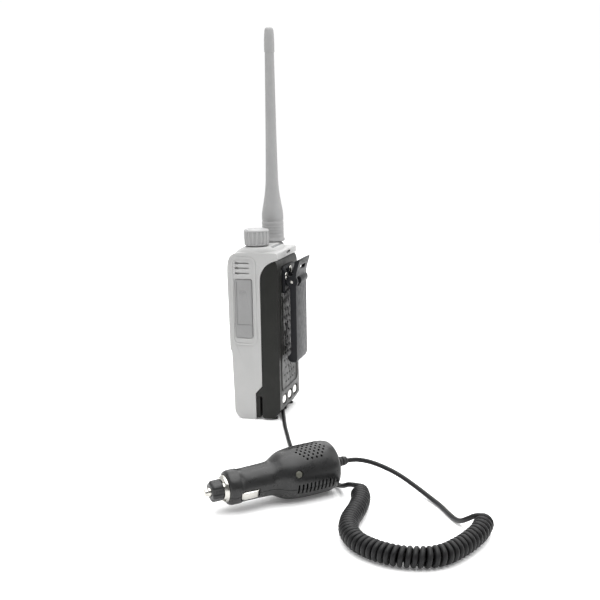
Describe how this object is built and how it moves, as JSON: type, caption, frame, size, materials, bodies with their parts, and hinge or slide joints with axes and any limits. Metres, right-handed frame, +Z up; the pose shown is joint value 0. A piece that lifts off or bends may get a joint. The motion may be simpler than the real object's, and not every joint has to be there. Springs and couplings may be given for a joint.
{
  "type": "handheld aviation radio",
  "caption": "Handheld two-way radio with antenna, volume knob and keypad, and a battery eliminator with a sprung belt clip, curly cord and vehicle power plug.",
  "frame": {"origin": "on the table, below the middle of the radio with its clip, without the cord and plug", "axes": "+Z up along the antenna, -Y out of the front with the display and keypad, +X out of the side with the accessory cover"},
  "size_m": [0.2832, 0.2146, 0.2987],
  "materials": {
    "case_grey": "fine texture, satin",
    "trim_grey": "moulded, satin",
    "display_window": "polished tinted window",
    "black_plastic": "fine spark texture",
    "black_rubber": "matt",
    "bright_metal": "nickel plated",
    "dark_metal": "dark plated",
    "alloy": "die cast",
    "circuit_board": "solder mask",
    "clear_glass": "clear",
    "lamp_lens": "tinted lens"
  },
  "bodies": {
    "radio": {"front_case": "case_grey", "lcd_window": "display_window", "accessory_socket": "black_plastic", "eliminator_shell": "black_plastic", "eliminator_lid": "black_plastic", "clip_bracket": "black_plastic", "plug_shell_upper": "black_plastic", "plug_shell_lower": "black_plastic", "plug_nose": "black_plastic", "keypad_mat": "black_rubber", "foot_left": "black_rubber", "foot_right": "black_rubber", "cable_gland": "black_rubber", "cord_lead": "black_rubber", "cord_coil": "black_rubber", "cord_tail": "black_rubber", "plug_boot": "black_rubber", "antenna_socket": "bright_metal", "contact_strip": "bright_metal", "clip_pin": "bright_metal", "clip_spring": "bright_metal", "clip_screw_left": "bright_metal", "clip_screw_right": "bright_metal", "clip_screw_top": "bright_metal", "plug_collar": "bright_metal", "pin_spring": "bright_metal", "lcd_module": "dark_metal", "speaker": "dark_metal", "rear_chassis": "alloy", "volume_control": "alloy", "main_board": "circuit_board", "regulator_board": "circuit_board", "plug_board": "circuit_board", "light_pipe": "clear_glass", "plug_lamp": "lamp_lens"},
    "volume_knob": {"volume_knob": "trim_grey"},
    "antenna": {"antenna_jacket": "trim_grey"},
    "ptt_button": {"ptt_button": "black_rubber"},
    "side_key_upper": {"side_key_upper": "black_rubber"},
    "side_key_lower": {"side_key_lower": "black_rubber"},
    "accessory_cover": {"accessory_cover": "trim_grey"},
    "release_latch": {"release_latch": "black_plastic"},
    "clip_lever": {"clip_lever": "black_plastic"},
    "menu_rocker": {"menu_rocker": "trim_grey"},
    "plug_pin": {"plug_pin": "bright_metal", "fuse": "clear_glass"},
    "side_contact_left": {"side_contact_left": "bright_metal"},
    "side_contact_right": {"side_contact_right": "bright_metal"},
    "key_1": {"key_1": "trim_grey"},
    "key_2": {"key_2": "trim_grey"},
    "key_3": {"key_3": "trim_grey"},
    "key_4": {"key_4": "trim_grey"},
    "key_5": {"key_5": "trim_grey"},
    "key_6": {"key_6": "trim_grey"},
    "key_7": {"key_7": "trim_grey"},
    "key_8": {"key_8": "trim_grey"},
    "key_9": {"key_9": "trim_grey"},
    "key_star": {"key_star": "trim_grey"},
    "key_0": {"key_0": "trim_grey"},
    "key_hash": {"key_hash": "trim_grey"}
  },
  "joints": [
    {"name": "volume_turn", "type": "hinge", "parent": "radio", "child": "volume_knob", "pos_m": [0.0148, -0.0059, 0.1349], "axis": [0, 0, -1], "range_deg": [0, 270]},
    {"name": "antenna_unscrew", "type": "hinge", "parent": "radio", "child": "antenna", "pos_m": [-0.0152, -0.00185, 0.1349], "axis": [0, 0, 1], "range_deg": [0, 1080]},
    {"name": "ptt_press", "type": "slide", "parent": "radio", "child": "ptt_button", "axis": [1, 0, 0], "range_m": [0, 0.001], "stiffness_N_per_m": 400},
    {"name": "side_key_upper_press", "type": "slide", "parent": "radio", "child": "side_key_upper", "axis": [1, 0, 0], "range_m": [0, 0.0008], "stiffness_N_per_m": 400},
    {"name": "side_key_lower_press", "type": "slide", "parent": "radio", "child": "side_key_lower", "axis": [1, 0, 0], "range_m": [0, 0.0008], "stiffness_N_per_m": 400},
    {"name": "cover_open", "type": "hinge", "parent": "radio", "child": "accessory_cover", "pos_m": [0.028, -0.0069, 0.0876], "axis": [0, 0, 1], "range_deg": [0, 110]},
    {"name": "latch_release", "type": "hinge", "parent": "radio", "child": "release_latch", "pos_m": [0, -0.0037, 0.0168], "axis": [1, 0, 0], "range_deg": [0, 6], "stiffness_Nm_per_rad": 0.2},
    {"name": "clip_open", "type": "hinge", "parent": "radio", "child": "clip_lever", "pos_m": [0, 0.0211, 0.1068], "axis": [1, 0, 0], "range_deg": [0, 14], "stiffness_Nm_per_rad": 0.4, "springref_deg": -17.19},
    {"name": "key_1_press", "type": "slide", "parent": "radio", "child": "key_1", "axis": [0, 1, 0], "range_m": [0, 0.0008], "stiffness_N_per_m": 400},
    {"name": "key_2_press", "type": "slide", "parent": "radio", "child": "key_2", "axis": [0, 1, 0], "range_m": [0, 0.0008], "stiffness_N_per_m": 400},
    {"name": "key_3_press", "type": "slide", "parent": "radio", "child": "key_3", "axis": [0, 1, 0], "range_m": [0, 0.0008], "stiffness_N_per_m": 400},
    {"name": "key_4_press", "type": "slide", "parent": "radio", "child": "key_4", "axis": [0, 1, 0], "range_m": [0, 0.0008], "stiffness_N_per_m": 400},
    {"name": "key_5_press", "type": "slide", "parent": "radio", "child": "key_5", "axis": [0, 1, 0], "range_m": [0, 0.0008], "stiffness_N_per_m": 400},
    {"name": "key_6_press", "type": "slide", "parent": "radio", "child": "key_6", "axis": [0, 1, 0], "range_m": [0, 0.0008], "stiffness_N_per_m": 400},
    {"name": "key_7_press", "type": "slide", "parent": "radio", "child": "key_7", "axis": [0, 1, 0], "range_m": [0, 0.0008], "stiffness_N_per_m": 400},
    {"name": "key_8_press", "type": "slide", "parent": "radio", "child": "key_8", "axis": [0, 1, 0], "range_m": [0, 0.0008], "stiffness_N_per_m": 400},
    {"name": "key_9_press", "type": "slide", "parent": "radio", "child": "key_9", "axis": [0, 1, 0], "range_m": [0, 0.0008], "stiffness_N_per_m": 400},
    {"name": "key_star_press", "type": "slide", "parent": "radio", "child": "key_star", "axis": [0, 1, 0], "range_m": [0, 0.0008], "stiffness_N_per_m": 400},
    {"name": "key_0_press", "type": "slide", "parent": "radio", "child": "key_0", "axis": [0, 1, 0], "range_m": [0, 0.0008], "stiffness_N_per_m": 400},
    {"name": "key_hash_press", "type": "slide", "parent": "radio", "child": "key_hash", "axis": [0, 1, 0], "range_m": [0, 0.0008], "stiffness_N_per_m": 400},
    {"name": "menu_rocker_press", "type": "slide", "parent": "radio", "child": "menu_rocker", "axis": [0, 1, 0], "range_m": [0, 0.0008], "stiffness_N_per_m": 400},
    {"name": "plug_pin_press", "type": "slide", "parent": "radio", "child": "plug_pin", "axis": [-0.6805, 0.7323, 0.0279], "range_m": [0, 0.002], "stiffness_N_per_m": 600},
    {"name": "contact_left_press", "type": "slide", "parent": "radio", "child": "side_contact_left", "axis": [0.6501, 0.6208, -0.4382], "range_m": [0, 0.0009], "stiffness_N_per_m": 400},
    {"name": "contact_right_press", "type": "slide", "parent": "radio", "child": "side_contact_right", "axis": [-0.6501, -0.6208, 0.4382], "range_m": [0, 0.0009], "stiffness_N_per_m": 400}
  ]
}
